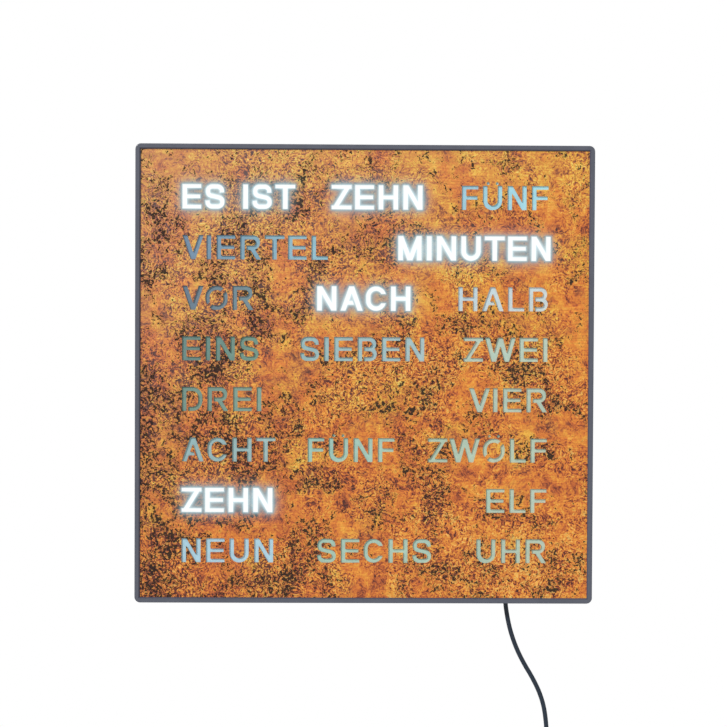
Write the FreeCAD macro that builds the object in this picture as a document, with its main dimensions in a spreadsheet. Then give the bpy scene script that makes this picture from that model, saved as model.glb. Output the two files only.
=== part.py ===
import FreeCAD, Part
import math
import os
import re
from types import SimpleNamespace

import Sketcher
from FreeCAD import Placement, Rotation, Vector

# A square word clock for the wall. The face looks along -Y, the wall is the plane y = 0 and +Z is up.
# The origin is the middle of the back cover's rear face. A depth is a distance out from the wall.

# Driving dimensions in millimetres, each with what it measures
SIZES = (
    ("case_side", 400, "outer side of the square case"),
    ("case_depth", 36, "wall to the front of the lip"),
    ("case_corner", 5, "outer corner radius of the frame"),
    ("frame_wall", 3, "thickness of the frame's side walls"),
    ("lip_width", 4.6, "front lip, from the outer edge to the window"),
    ("lip_thick", 2, "thickness of the front lip"),
    ("lip_bevel", 1.1, "bevel round the window"),
    ("lip_round", 0.7, "rounding of the frame's outer front edge"),
    ("stack_gap", 0.5, "room between the frame's walls and the sheets inside"),
    ("face_thick", 2, "patinated face plate"),
    ("diffuser_thick", 1.5, "opal sheet behind the face plate"),
    ("strip_thick", 1.6, "circuit board of a light strip"),
    ("carrier_thick", 1.5, "sheet that carries the light strips"),
    ("cover_thick", 2, "back cover"),
    ("row_pitch", 44.1, "one row of words to the next"),
    ("cap_height", 21.1, "height of the capitals"),
    ("stem_width", 4, "upright strokes"),
    ("bar_width", 3.2, "level strokes"),
    ("curve_width", 3.7, "round strokes"),
    ("slant_width", 4.3, "slanting strokes, measured level"),
    ("bridge", 1.5, "stencil bridge that holds a letter's middle"),
    ("dot_size", 2.6, "diameter of the two dots over a letter"),
    ("dot_rise", 2, "top of a capital to the middle of its dots"),
    ("text_left", 159.2, "middle of the face to the left edge of the words"),
    ("text_right", 159.8, "middle of the face to the right edge of the words"),
    ("cell_margin", 5, "light cell beyond its word at each end"),
    ("cell_height", 34, "height of a light cell"),
    ("strip_inset", 8, "side of the case to the end of a light strip"),
    ("strip_width", 12, "light strip, bottom edge to top edge"),
    ("led_size", 5, "side of a lamp package"),
    ("led_thick", 1.6, "lamp package, front to back"),
    ("led_pitch", 22, "longest step between the lamps of one word"),
    ("link_width", 8, "flat link from one strip to the next"),
    ("link_thick", 0.4, "thickness of that link"),
    ("link_inset", 8, "end of a strip to the middle of a link"),
    ("block_length", 16, "mounting block along its wall"),
    ("block_width", 12, "mounting block, in from its wall"),
    ("block_inset", 50, "corner of the case to the middle of a mounting block"),
    ("screw_radius", 1.5, "shank of the cover and board screws"),
    ("head_radius", 2.9, "head of those screws"),
    ("head_height", 1.4, "countersunk head"),
    ("screw_length", 11, "cover screw with its head"),
    ("screw_gap", 0.15, "room round a screw in its hole"),
    ("keyhole_span", 200, "one hanging keyhole to the other"),
    ("keyhole_drop", 50, "top of the case to the keyholes' entry holes"),
    ("keyhole_radius", 4.5, "entry hole for the wall screw's head"),
    ("keyhole_slot", 4.5, "width of the slot for the wall screw's shank"),
    ("keyhole_rise", 10, "entry hole to the top of the slot"),
    ("keyhole_plate_width", 30, "stiffening plate at a keyhole"),
    ("keyhole_plate_height", 38, "stiffening plate at a keyhole"),
    ("keyhole_plate_thick", 1.5, "stiffening plate at a keyhole"),
    ("vent_width", 3, "vent slot"),
    ("vent_height", 30, "vent slot"),
    ("vent_step", 9, "one vent slot to the next"),
    ("vent_drop", 140, "top of the case to the foot of the vent slots"),
    ("vent_inset", 70, "side of the case to the outermost vent slot"),
    ("bay_inset", 62, "right side of the case to the connector bay"),
    ("bay_width", 60, "inside width of the connector bay"),
    ("bay_behind", 3.4, "room between the bay's floor and the strip carrier"),
    ("bay_height", 45, "inner face of the frame's lower wall to the bay's top wall"),
    ("bay_wall", 1.5, "walls and floor of the connector bay"),
    ("bay_gap", 0.3, "room between the bay and the frame"),
    ("ear_length", 10, "screw ear at each side of the bay"),
    ("ear_height", 12, "screw ear at each side of the bay"),
    ("ear_thick", 4, "screw ear at each side of the bay"),
    ("ear_lift", 25, "inner face of the frame's lower wall to the ears"),
    ("bay_screw_length", 5, "bay screw with its head"),
    ("board_reach", 14, "controller board beyond the near side of the bay"),
    ("board_width", 84, "controller board"),
    ("board_height", 60, "controller board"),
    ("board_thick", 1.6, "controller board"),
    ("board_lift", 1, "room between the bay's top wall and the board"),
    ("standoff_height", 4, "carrier sheet to the controller board"),
    ("standoff_radius", 3, "standoff"),
    ("standoff_inset", 4.5, "edge of the board to a standoff"),
    ("board_screw_length", 6, "board screw with its head"),
    ("plug_inset", 48, "near side of the bay to the power plug"),
    ("jack_width", 9, "power jack"),
    ("jack_height", 10, "power jack, out from the board"),
    ("jack_gap", 0.8, "room between the power jack and the back cover"),
    ("jack_length", 14, "power jack"),
    ("jack_axis", 5, "board to the middle of the jack's bore"),
    ("jack_bore", 3.1, "radius of the jack's bore"),
    ("jack_bore_depth", 11, "depth of the jack's bore"),
    ("jack_pin", 1, "radius of the jack's middle contact"),
    ("barrel_radius", 2.75, "outside of the plug's barrel"),
    ("barrel_bore", 1.25, "inside of the plug's barrel"),
    ("barrel_length", 10.5, "plug's barrel"),
    ("plug_gap", 0.3, "room between the plug's shoulder and the bay's top wall"),
    ("grip_radius", 5, "plug's moulded grip"),
    ("grip_length", 19, "plug's moulded grip"),
    ("boot_radius", 3.9, "thick end of the plug's boot"),
    ("boot_tip", 2.7, "thin end of the plug's boot"),
    ("boot_length", 14, "plug's boot"),
    ("button_inset", 8, "near side of the bay to the nearest button"),
    ("button_step", 11, "one button to the next"),
    ("switch_side", 7, "body of a push switch"),
    ("switch_height", 6, "body of a push switch, out from the board"),
    ("plunger_radius", 1.5, "plunger of a push switch"),
    ("plunger_fit", 0.05, "running room round a plunger in its switch"),
    ("plunger_seat", 3, "length of plunger inside its switch at rest"),
    ("button_travel", 1, "stroke of a button"),
    ("button_spare", 0.2, "room left past the end of the stroke"),
    ("button_radius", 3.4, "button cap"),
    ("button_height", 5, "button cap"),
    ("button_socket", 3.5, "depth of the hole for the plunger in its cap"),
    ("button_hole_gap", 0.4, "room round a plunger in the bay's top wall"),
    ("button_edge", 0.6, "rounding of a cap's outer edge"),
    ("cord_radius", 2, "power cord"),
    ("coil_radius", 33.5, "outer turn of the put-away coil, at the cord's middle"),
    ("coil_pitch", 4.6, "one turn of the coil to the next, and one layer to the next"),
    ("coil_depth", 4.5, "wall to the middle of the coil's first layer"),
    ("coil_drop", 152, "lower side of the case down to the middle of the coil"),
    ("cord_end_shift", 38.5, "power plug to where the cord meets the coil, across"),
    ("tie_length", 8, "cord tie along the turns"),
    ("tie_thick", 1.2, "cord tie"),
    ("tie_gap", 0.4, "room between the turns and the tie"),
    ("adapter_width", 44, "plug-in supply"),
    ("adapter_depth", 28, "plug-in supply"),
    ("adapter_height", 62, "plug-in supply"),
    ("adapter_drop", 61, "middle of the coil down to the top of the supply"),
    ("adapter_gap", 1, "wall to the supply"),
    ("adapter_wall", 2, "supply's shells"),
    ("adapter_split", 12, "pin side to the seam of the two shells"),
    ("adapter_edge", 3, "rounding of the supply"),
    ("core_width", 14, "transformer in the supply"),
    ("core_depth", 16, "transformer in the supply"),
    ("core_height", 18, "transformer in the supply"),
    ("pin_radius", 2, "mains pin"),
    ("pin_length", 19, "mains pin, out of the supply"),
    ("pin_spacing", 18.6, "one mains pin to the other"),
    ("relief_length", 16, "supply's strain relief"),
    ("relief_radius", 4.5, "thick end of the strain relief"),
    ("relief_tip", 2.8, "thin end of the strain relief"),
)

# Numbers of things
ROWS = 8
VENTS = 8
COIL_TURNS = 9
GAP_SAMPLES = 48

# Each letter's width and the room it asks for at its left and right, in millimetres
LETTER_ROOM = {
    "A": (19.2, 1.4, 1.4), "B": (16.8, 2.3, 2.0), "C": (17.3, 1.7, 2.1), "D": (17.9, 2.3, 2.0),
    "E": (16.3, 2.3, 1.9), "F": (14.5, 2.3, 1.6), "H": (16.9, 2.3, 2.3), "I": (4.2, 2.3, 2.3),
    "L": (14.3, 2.3, 1.5), "M": (20.3, 2.3, 2.3), "N": (16.7, 2.3, 2.3), "O": (19.4, 1.5, 1.9),
    "R": (18.3, 2.3, 1.8), "S": (16.6, 1.7, 2.0), "T": (17.3, 1.2, 0.7), "U": (16.9, 2.3, 2.4),
    "V": (18.7, 0.3, 0.0), "W": (27.1, 0.5, 0.8), "Z": (17.3, 1.2, 0.9),
}
DOTTED = {"Ö": "O", "Ü": "U"}
# The course of an S, as shares of the room between the middles of its outer strokes
S_COURSE = (
    (0.98, 0.70), (0.96, 0.90), (0.74, 1.0), (0.25, 1.0), (0.03, 0.91), (0.03, 0.63), (0.20, 0.55),
    (0.80, 0.45), (1.0, 0.36), (1.0, 0.09), (0.76, 0.0), (0.24, 0.0), (0.02, 0.10), (0.0, 0.30),
)

# The number words row by row, each with the place of its left edge, or the margin that it keeps to
WORDS = (
    (("ES", "left"), ("IST", -106.4), ("ZEHN", -29.4), ("FÜNF", "right")),
    (("VIERTEL", "left"), ("MINUTEN", 28.9)),
    (("VOR", "left"), ("NACH", -41.6), ("HALB", "right")),
    (("EINS", "left"), ("SIEBEN", -56.4), ("ZWEI", "right")),
    (("DREI", "left"), ("VIER", "right")),
    (("ACHT", "left"), ("FÜNF", -49.4), ("ZWÖLF", "right")),
    (("ZEHN", "left"), ("ELF", "right")),
    (("NEUN", "left"), ("SECHS", -41.0), ("UHR", "right")),
)

# The cord's way from the plug's boot to the coil: across from the plug, depth out from the wall,
# and height over the case's lower side. Its last run before the coil goes straight down, CORD_LEAD long.
CORD_LEAD = 19
CORD_ROUTE = (
    (0, 7.8, 0),
    (1.8, 7.3, -14),
    (5.2, 6.7, -29),
    (10.6, 6.1, -44),
    (17.4, 5.6, -57.5),
    (25.4, 5.2, -70.5),
    (32.4, 4.8, -85),
    (36.8, 4.6, -101),
)

ALONG = {
    "+X": Rotation(Vector(0, 1, 0), 90),
    "-X": Rotation(Vector(0, 1, 0), -90),
    "+Y": Rotation(Vector(1, 0, 0), -90),
    "-Y": Rotation(Vector(1, 0, 0), 90),
    "+Z": Rotation(),
    "-Z": Rotation(Vector(1, 0, 0), 180),
}

doc = FreeCAD.newDocument("word_clock")
sheet = doc.addObject("Spreadsheet::Sheet", "Sizes")
for row, (alias, number, meaning) in enumerate(SIZES, 1):
    sheet.set(f"A{row}", alias)
    sheet.set(f"B{row}", str(number))
    sheet.setAlias(f"B{row}", alias)
    sheet.set(f"C{row}", meaning)
doc.recompute()
mm = SimpleNamespace(**{alias: float(sheet.get(alias)) for alias, number, meaning in SIZES})

nodes = []


def node(label, item):
    """Names a finished sub-part."""
    item.Label = label
    nodes.append(item)
    return item


def bind(item, where, text):
    """Ties one size of an object to the cells that the text names."""
    item.setExpression(where, re.sub(r"[a-z]\w+", lambda word: "Sizes." + word.group(), text))


def box(name, sides, at):
    """A rectangular solid: its sides along X, Y and Z as texts, and its low corner."""
    item = doc.addObject("Part::Box", name)
    for where, text in zip(("Length", "Width", "Height"), sides):
        bind(item, where, text)
    item.Placement = Placement(Vector(*at), Rotation())
    return item


def rod(name, radius, length, at, way):
    """A cylinder that starts at a point and runs one way."""
    item = doc.addObject("Part::Cylinder", name)
    bind(item, "Radius", radius)
    bind(item, "Height", length)
    item.Placement = Placement(Vector(*at), ALONG[way])
    return item


def cone(name, radius, end_radius, length, at, way):
    """A cone that starts at a point with its first radius and runs one way."""
    item = doc.addObject("Part::Cone", name)
    bind(item, "Radius1", radius)
    bind(item, "Radius2", end_radius)
    bind(item, "Height", length)
    item.Placement = Placement(Vector(*at), ALONG[way])
    return item


def cut(name, base, tool):
    item = doc.addObject("Part::Cut", name)
    item.Base = base
    item.Tool = tool
    return item


def fuse(name, *pieces):
    item = doc.addObject("Part::MultiFuse", name)
    item.Shapes = list(pieces)
    return item


def group(name, pieces):
    """Separate solids kept together as one sub-part."""
    item = doc.addObject("Part::Compound", name)
    item.Links = list(pieces)
    return item


def shaped(name, shape):
    """A sub-part whose shape is worked out here from the cells."""
    item = doc.addObject("Part::Feature", name)
    item.Shape = shape
    return item


def new_body(name):
    return doc.addObject("PartDesign::Body", name)


def new_sketch(body, name, at):
    """A sketch on the body's own XZ plane, with its origin at (across, up)."""
    drawing = body.newObject("Sketcher::SketchObject", name)
    plane = next(item for item in body.Origin.OriginFeatures if item.Role == "XZ_Plane")
    drawing.AttachmentSupport = [(plane, "")]
    drawing.MapMode = "FlatFace"
    drawing.AttachmentOffset = Placement(Vector(at[0], at[1], 0), Rotation())
    return drawing


def rectangle(body, name, width, height, at):
    """A rectangle that grows right and up from its low corner."""
    drawing = new_sketch(body, name, at)
    corners = [Vector(0, 0, 0), Vector(1, 0, 0), Vector(1, 1, 0), Vector(0, 1, 0)]
    for index in range(4):
        drawing.addGeometry(Part.LineSegment(corners[index], corners[(index + 1) % 4]))
    for index in range(4):
        drawing.addConstraint(Sketcher.Constraint("Coincident", index, 2, (index + 1) % 4, 1))
    drawing.addConstraint(Sketcher.Constraint("Coincident", 0, 1, -1, 1))
    for index, level in enumerate(("Horizontal", "Vertical", "Horizontal", "Vertical")):
        drawing.addConstraint(Sketcher.Constraint(level, index))
    for label, kind, edge, text in (("width", "DistanceX", 0, width), ("height", "DistanceY", 1, height)):
        index = drawing.addConstraint(Sketcher.Constraint(kind, edge, 1, edge, 2, 1.0))
        drawing.renameConstraint(index, label)
        bind(drawing, "Constraints." + label, text)
    return drawing


def pad(body, name, profile, length):
    """Raises a profile from the wall plane towards the front."""
    item = body.newObject("PartDesign::Pad", name)
    item.Profile = profile
    bind(item, "Length", length)
    return item


def pocket(body, name, profile, length):
    """Cuts a profile from the wall plane towards the front."""
    item = body.newObject("PartDesign::Pocket", name)
    item.Profile = profile
    item.Reversed = True
    bind(item, "Length", length)
    return item


def edges_where(shape, test):
    """The names of the edges whose ends all pass a test."""
    return [
        f"Edge{index}" for index, edge in enumerate(shape.Edges, 1)
        if all(test(end.Point) for end in edge.Vertexes)
    ]


def near(one, other):
    return abs(one - other) < 1e-4


# Layers: the face's from the lip back and the board's from the cover forward. The light grid fills the rest.
half_side = mm.case_side / 2
inner_half = half_side - mm.frame_wall
window_half = half_side - mm.lip_width
stack_half = inner_half - mm.stack_gap
STACK_SIDE = "case_side - 2 * (frame_wall + stack_gap)"
face_back = mm.case_depth - mm.lip_thick - mm.face_thick
diffuser_back = face_back - mm.diffuser_thick
board_back = mm.cover_thick + mm.jack_gap + mm.jack_height
board_front = board_back + mm.board_thick
carrier_back = board_front + mm.standoff_height
strip_back = carrier_back + mm.carrier_thick
grid_back = strip_back + mm.strip_thick
bay_depth = carrier_back - mm.bay_behind - mm.bay_wall
CARRIER_BACK = "(cover_thick + jack_gap + jack_height + board_thick + standoff_height)"
GRID_DEPTH = (f"(case_depth - lip_thick - face_thick - diffuser_thick"
              f" - {CARRIER_BACK} - carrier_thick - strip_thick)")
BAY_DEPTH = f"({CARRIER_BACK} - bay_behind - bay_wall)"
row_heights = [mm.row_pitch * ((ROWS - 1) / 2 - index) for index in range(ROWS)]

# Places that keep to the sides of the case
bay_left = half_side - mm.bay_inset - mm.bay_width
board_left = bay_left - mm.board_reach
plug_across = bay_left + mm.plug_inset
block_offset = half_side - mm.block_inset
keyhole_low = half_side - mm.keyhole_drop


# Frame
def make_frame():
    body = new_body("frame")
    outline = rectangle(body, "frame_outline", "case_side", "case_side", (-half_side, -half_side))
    block = pad(body, "frame_block", outline, "case_depth")
    doc.recompute()
    corners = edges_where(block.Shape, lambda p: near(abs(p.x), half_side) and near(abs(p.z), half_side))
    upright = [name for name in corners if abs(block.Shape.getElement(name).tangentAt(0).y) > 0.5]
    rounding = body.newObject("PartDesign::Fillet", "frame_corners")
    rounding.Base = (block, upright)
    bind(rounding, "Radius", "case_corner")
    hollow = rectangle(body, "frame_inside", "case_side - 2 * frame_wall", "case_side - 2 * frame_wall",
                       (-inner_half, -inner_half))
    pocket(body, "frame_hollow", hollow, "case_depth - lip_thick")
    window = rectangle(body, "frame_window_outline", "case_side - 2 * lip_width", "case_side - 2 * lip_width",
                       (-window_half, -window_half))
    opening = pocket(body, "frame_window", window, "case_depth")
    doc.recompute()

    def on_window(p):
        return near(p.y, -mm.case_depth) and max(abs(p.x), abs(p.z)) < window_half + 1e-4

    bevel = body.newObject("PartDesign::Chamfer", "frame_bevel")
    bevel.Base = (opening, edges_where(opening.Shape, on_window))
    bind(bevel, "Size", "lip_bevel")
    doc.recompute()

    def on_outer_front(p):
        return near(p.y, -mm.case_depth) and max(abs(p.x), abs(p.z)) > half_side - 1e-4

    edge = body.newObject("PartDesign::Fillet", "frame_front_edge")
    edge.Base = (bevel, edges_where(bevel.Shape, on_outer_front))
    bind(edge, "Radius", "lip_round")
    doc.recompute()
    notch = rectangle(body, "frame_notch_outline", "bay_width", "frame_wall + 2",
                      (bay_left, -half_side - 1))
    body.Tip = pocket(body, "frame_notch", notch, BAY_DEPTH)
    node("frame", body)


# Stencil letters, drawn flat in the XZ plane from strokes
def flat(points):
    """A face with straight edges."""
    ring = [Vector(x, 0, z) for x, z in points]
    return Part.Face(Part.makePolygon(ring + ring[:1]))


def bar(left, low, right, high):
    return flat([(left, low), (right, low), (right, high), (left, high)])


def slant(low_left, high_left, low=0.0, high=None):
    """A slanting stroke with level ends, given by the left edge of its foot and of its top."""
    high = mm.cap_height if high is None else high
    return flat([(low_left, low), (low_left + mm.slant_width, low),
                 (high_left + mm.slant_width, high), (high_left, high)])


def corner_arc(before, point, after, radius):
    """The arc that rounds a corner of a route: its first, middle and last points and its centre."""
    back = (before - point).normalize()
    ahead = (after - point).normalize()
    half_angle = back.getAngle(ahead) / 2
    reach = radius / math.tan(half_angle)
    centre = point + (back + ahead).normalize() * (radius / math.sin(half_angle))
    middle = centre + (point - centre).normalize() * radius
    return point + back * reach, middle, point + ahead * reach, centre


def band(points, radius, width):
    """A flat stroke of one width along a route with rounded corners, its ends cut square."""
    route = [Vector(x, 0, z) for x, z in points]
    edges = []
    caps = {0: [], 1: []}
    for side in (1, -1):
        starts = []
        for index, (here, there) in enumerate(zip(route, route[1:])):
            run = (there - here).normalize()
            aside = Vector(-run.z, 0, run.x) * (side * width / 2)
            starts.append((here + aside, there + aside))
        last = starts[0][0]
        caps[0].append(last)
        for index in range(1, len(route) - 1):
            first, middle, end, centre = corner_arc(*route[index - 1:index + 2], radius)
            turn = (route[index] - route[index - 1]).cross(route[index + 1] - route[index]).y
            grow = 1 + (side if turn > 0 else -side) * width / 2 / radius
            a, b, c = (centre + (point - centre) * grow for point in (first, middle, end))
            if last.distanceToPoint(a) > 1e-6:
                edges.append(Part.LineSegment(last, a).toShape())
            edges.append(Part.Arc(a, b, c).toShape())
            last = c
        stop = starts[-1][1]
        if last.distanceToPoint(stop) > 1e-6:
            edges.append(Part.LineSegment(last, stop).toShape())
        caps[1].append(stop)
    edges += [Part.LineSegment(*caps[0]).toShape(), Part.LineSegment(*caps[1]).toShape()]
    return Part.Face(Part.Wire(Part.sortEdges(edges)[0]))


def letter_strokes(name):
    """The strokes that draw one letter from its lower left corner, and the bridges left across them."""
    width = LETTER_ROOM[name][0]
    top, stem, level, curve = mm.cap_height, mm.stem_width, mm.bar_width, mm.curve_width
    half, slope = curve / 2, mm.slant_width
    middle = top / 2
    right = width - stem
    bowl = (top - curve) / 4
    ring = (width - curve) / 2
    post = bar(0, 0, stem, top)
    far_post = bar(right, 0, width, top)
    roof = bar(0, top - level, width, top)
    floor = bar(0, 0, width, level)
    if name == "A":
        apex = (width - slope) / 2
        low, high = 0.25 * top, 0.25 * top + level

        def inner(z):
            return width - slope - (width - slope - apex) * z / top - mm.bridge

        rail = flat([(apex / 2, low), (inner(low), low), (inner(high), high), (apex / 2, high)])
        return [slant(0, apex), slant(width - slope, apex), rail], []
    if name == "B":
        out = width - half
        upper = band([(stem / 2, top - half), (out - 0.6, top - half), (out - 0.6, middle),
                      (stem + mm.bridge, middle)], bowl - 0.05, curve)
        lower = band([(stem + mm.bridge, middle), (out, middle), (out, half),
                      (stem + mm.bridge, half)], bowl - 0.05, curve)
        return [post, upper, lower], []
    if name == "C":
        ends = bar(width / 2, middle - bowl * 0.95, width + 1, middle + bowl * 0.95)
        return [band([(width - half, top - half - ring), (width - half, top - half), (half, top - half),
                      (half, half), (width - half, half), (width - half, half + ring)],
                     ring - 0.05, curve)], [ends]
    if name == "D":
        out = width - half
        return [post, band([(stem / 2, top - half), (out, top - half), (out, half),
                            (stem + mm.bridge, half)], ring, curve)], []
    if name in "EF":
        arms = [bar(0, middle - level / 2, width - 0.8, middle + level / 2), roof]
        return [post] + arms + ([floor] if name == "E" else []), []
    if name == "H":
        return [post, far_post, bar(0, middle - level / 2, width, middle + level / 2)], []
    if name == "I":
        return [bar(0, 0, width, top)], []
    if name == "L":
        return [post, floor], []
    if name == "M":
        foot = (width - slope) / 2
        return [post, far_post, slant(foot, 0), slant(foot, width - slope)], []
    if name == "N":
        return [post, far_post, slant(width - slope, 0)], []
    if name == "O":
        loop = [(width / 2, top - half), (half, top - half), (half, half), (width / 2, half)]
        mirrored = [(width - x, z) for x, z in loop]
        gap = mm.bridge * 0.7
        bridges = [
            flat([(width / 2 - gap, middle + gap), (width / 2 + gap, middle - gap),
                  (width / 2 + gap + side * width, middle - gap + side * width),
                  (width / 2 - gap + side * width, middle + gap + side * width)])
            for side in (1, -1)
        ]
        return [band(loop, ring, curve), band(mirrored, ring, curve)], bridges
    if name == "R":
        out = width - half - 1
        turn_height = middle - 0.4
        bowl_band = band([(stem / 2, top - half), (out, top - half), (out, turn_height),
                          (stem + mm.bridge, turn_height)], bowl - 0.05, curve)
        leg = slant(width - slope, width * 0.42, 0, turn_height)
        return [post, bowl_band, leg], []
    if name == "S":
        course = [(half + x * (width - curve), half + z * (top - curve)) for x, z in S_COURSE]
        return [band(course, bowl * 0.75, curve)], []
    if name == "T":
        return [roof, bar((width - stem) / 2, 0, (width + stem) / 2, top)], []
    if name == "U":
        return [band([(stem / 2, top), (stem / 2, half), (width - stem / 2, half), (width - stem / 2, top)],
                     (width - stem) / 2 - 0.05, stem)], []
    if name == "V":
        foot = (width - slope) / 2
        return [slant(foot, 0), slant(foot, width - slope)], []
    if name == "W":
        step = (width - slope) / 4
        return [slant(foot * step, top_end * step) for foot, top_end in ((1, 0), (1, 2), (3, 2), (3, 4))], []
    if name == "Z":
        return [roof, floor, slant(0, width - slope)], []
    raise ValueError(name)


def letter(name):
    """One letter as flat faces, with the two dots of a dotted vowel."""
    plain = DOTTED.get(name, name)
    strokes, bridges = letter_strokes(plain)
    shape = strokes[0].fuse(strokes[1:]) if len(strokes) > 1 else strokes[0]
    shape = shape.removeSplitter()
    if bridges:
        shape = shape.cut(bridges)
    faces = list(shape.Faces)
    if name in DOTTED:
        centre = LETTER_ROOM[plain][0] / 2
        for side in (-1, 1):
            at = Vector(centre + side * mm.stem_width, 0, mm.cap_height + mm.dot_rise)
            rim = Part.Circle(at, Vector(0, -1, 0), mm.dot_size / 2).toShape()
            faces.append(Part.Face(Part.Wire(rim)))
    return faces


def word_steps(word):
    """Where each letter of a word starts, from the word's left edge, and the word's whole width."""
    steps = [0.0]
    rooms = [LETTER_ROOM[DOTTED.get(name, name)] for name in word]
    for here, there in zip(rooms, rooms[1:]):
        steps.append(steps[-1] + here[0] + here[2] + there[1])
    return steps, steps[-1] + rooms[-1][0]


def laid_words():
    """Every word with its row, left edge and width."""
    for index, words in enumerate(WORDS):
        for word, place in words:
            steps, width = word_steps(word)
            left = {"left": -mm.text_left, "right": mm.text_right - width}.get(place, place)
            yield index, word, left, width


def letter_cutters():
    """Prisms of all the letters, long enough to pass through the face plate."""
    used = sorted({name for row in WORDS for word, place in row for name in word})
    drawn = {name: letter(name) for name in used}
    prisms = []
    for index, word, left, width in laid_words():
        base = row_heights[index] - mm.cap_height / 2
        for name, step in zip(word, word_steps(word)[0]):
            for face in drawn[name]:
                moved = face.translated(Vector(left + step, -face_back + 1, base))
                prisms.append(moved.extrude(Vector(0, -mm.face_thick - 2, 0)))
    return Part.makeCompound(prisms)


# Front stack: face plate, opal sheet, light grid, light strips and their carrier
def stack_sheet(name, thickness, front):
    """A square sheet of the stack whose front face stands this far out from the wall."""
    return box(name, (STACK_SIDE, thickness, STACK_SIDE), (-stack_half, -front, -stack_half))


def make_stack():
    blank = stack_sheet("face_blank", "face_thick", face_back + mm.face_thick)
    node("face_plate", cut("face_with_words", blank, shaped("word_cutters", letter_cutters())))
    node("diffuser_sheet", stack_sheet("opal_sheet", "diffuser_thick", face_back))
    cells = []
    for number, (index, word, left, width) in enumerate(laid_words(), 1):
        cell = doc.addObject("Part::Box", f"cell_{number}")
        cell.Length = width + 2 * mm.cell_margin
        bind(cell, "Width", GRID_DEPTH + " + 2")
        bind(cell, "Height", "cell_height")
        low = row_heights[index] - mm.cell_height / 2
        cell.Placement = Placement(Vector(left - mm.cell_margin, -diffuser_back - 1, low), Rotation())
        cells.append(cell)
    grid = stack_sheet("grid_block", GRID_DEPTH, diffuser_back)
    node("light_grid", cut("grid_with_cells", grid, group("grid_cells", cells)))


def make_strips():
    for index, height in enumerate(row_heights, 1):
        strip = box(f"strip_{index}", ("case_side - 2 * strip_inset", "strip_thick", "strip_width"),
                    (mm.strip_inset - half_side, -grid_back, height - mm.strip_width / 2))
        node(f"light_strip_row_{index}", strip)
    links = []
    for index, (upper, lower) in enumerate(zip(row_heights, row_heights[1:])):
        side = 1 if index % 2 == 0 else -1
        across = side * (half_side - mm.strip_inset - mm.link_inset)
        at = (across - mm.link_width / 2, -strip_back - mm.link_thick, lower + mm.strip_width / 2)
        links.append(box(f"link_{index + 1}", ("link_width", "link_thick", "row_pitch - strip_width"), at))
    node("strip_links", group("links", links))
    lamps = []
    for index, word, left, width in laid_words():
        count = max(2, math.ceil(width / mm.led_pitch))
        for step in range(count):
            across = left + width * (step + 0.5) / count - mm.led_size / 2
            at = (across, -grid_back - mm.led_thick, row_heights[index] - mm.led_size / 2)
            lamps.append(box(f"lamp_{len(lamps) + 1}", ("led_size", "led_thick", "led_size"), at))
    node("strip_lamps", group("lamps", lamps))


def turned_places(offset, inset):
    """Two places near each side of the case, as (across, up), at an offset along it and an inset from it."""
    for quarter in range(4):
        turn = Rotation(Vector(0, 1, 0), 90 * quarter)
        for side in (-1, 1):
            place = turn.multVec(Vector(side * offset, 0, inner_half - inset))
            yield quarter, place.x, place.z


def make_blocks():
    """Blocks fixed inside the frame's walls: they hold the stack forward and take the cover's screws."""
    blocks = []
    for number, (quarter, x, z) in enumerate(turned_places(block_offset, mm.block_width / 2), 1):
        level = quarter % 2 == 0
        sides = ("block_length", CARRIER_BACK + " - cover_thick", "block_width")
        if not level:
            sides = sides[::-1]
        wide, high = (mm.block_length, mm.block_width) if level else (mm.block_width, mm.block_length)
        block = box(f"block_{number}", sides, (x - wide / 2, -carrier_back, z - high / 2))
        hole = rod(f"block_hole_{number}", "screw_radius + screw_gap", "screw_length",
                   (x, -mm.cover_thick, z), "-Y")
        blocks.append(cut(f"drilled_block_{number}", block, hole))
    node("mounting_blocks", group("blocks", blocks))


# Back cover with its screws, keyholes and vents
def countersunk_screw(name, x, z, length):
    """A screw whose flat head lies flush with the rear of the cover."""
    head = cone(name + "_head", "head_radius", "screw_radius", "head_height", (x, 0, z), "-Y")
    shank = rod(name + "_shank", "screw_radius", length, (x, 0, z), "-Y")
    return fuse(name, head, shank)


def countersunk_hole(name, x, z):
    """The hole for that screw through the cover."""
    head = cone(name + "_head", "head_radius + screw_gap", "screw_radius + screw_gap", "head_height",
                (x, 0, z), "-Y")
    shank = rod(name + "_shank", "screw_radius + screw_gap", "cover_thick + 1", (x, 0, z), "-Y")
    return fuse(name, head, shank)


def keyhole(name, x):
    """The hole for a wall screw: its head goes in below, and its shank up the slot."""
    length = "cover_thick + keyhole_plate_thick + 2"
    entry = rod(name + "_entry", "keyhole_radius", length, (x, 1, keyhole_low), "-Y")
    top = rod(name + "_top", "keyhole_slot / 2", length, (x, 1, keyhole_low + mm.keyhole_rise), "-Y")
    through = mm.cover_thick + mm.keyhole_plate_thick + 2
    slot = box(name + "_slot", ("keyhole_slot", length, "keyhole_rise"),
               (x - mm.keyhole_slot / 2, 1 - through, keyhole_low))
    return fuse(name, entry, top, slot)


def ear_places():
    """The low corner of each screw ear of the bay, as (across, up)."""
    up = -inner_half + mm.ear_lift
    return (
        (bay_left - mm.bay_wall - mm.ear_length, up),
        (bay_left + mm.bay_width + mm.bay_wall, up),
    )


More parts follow.
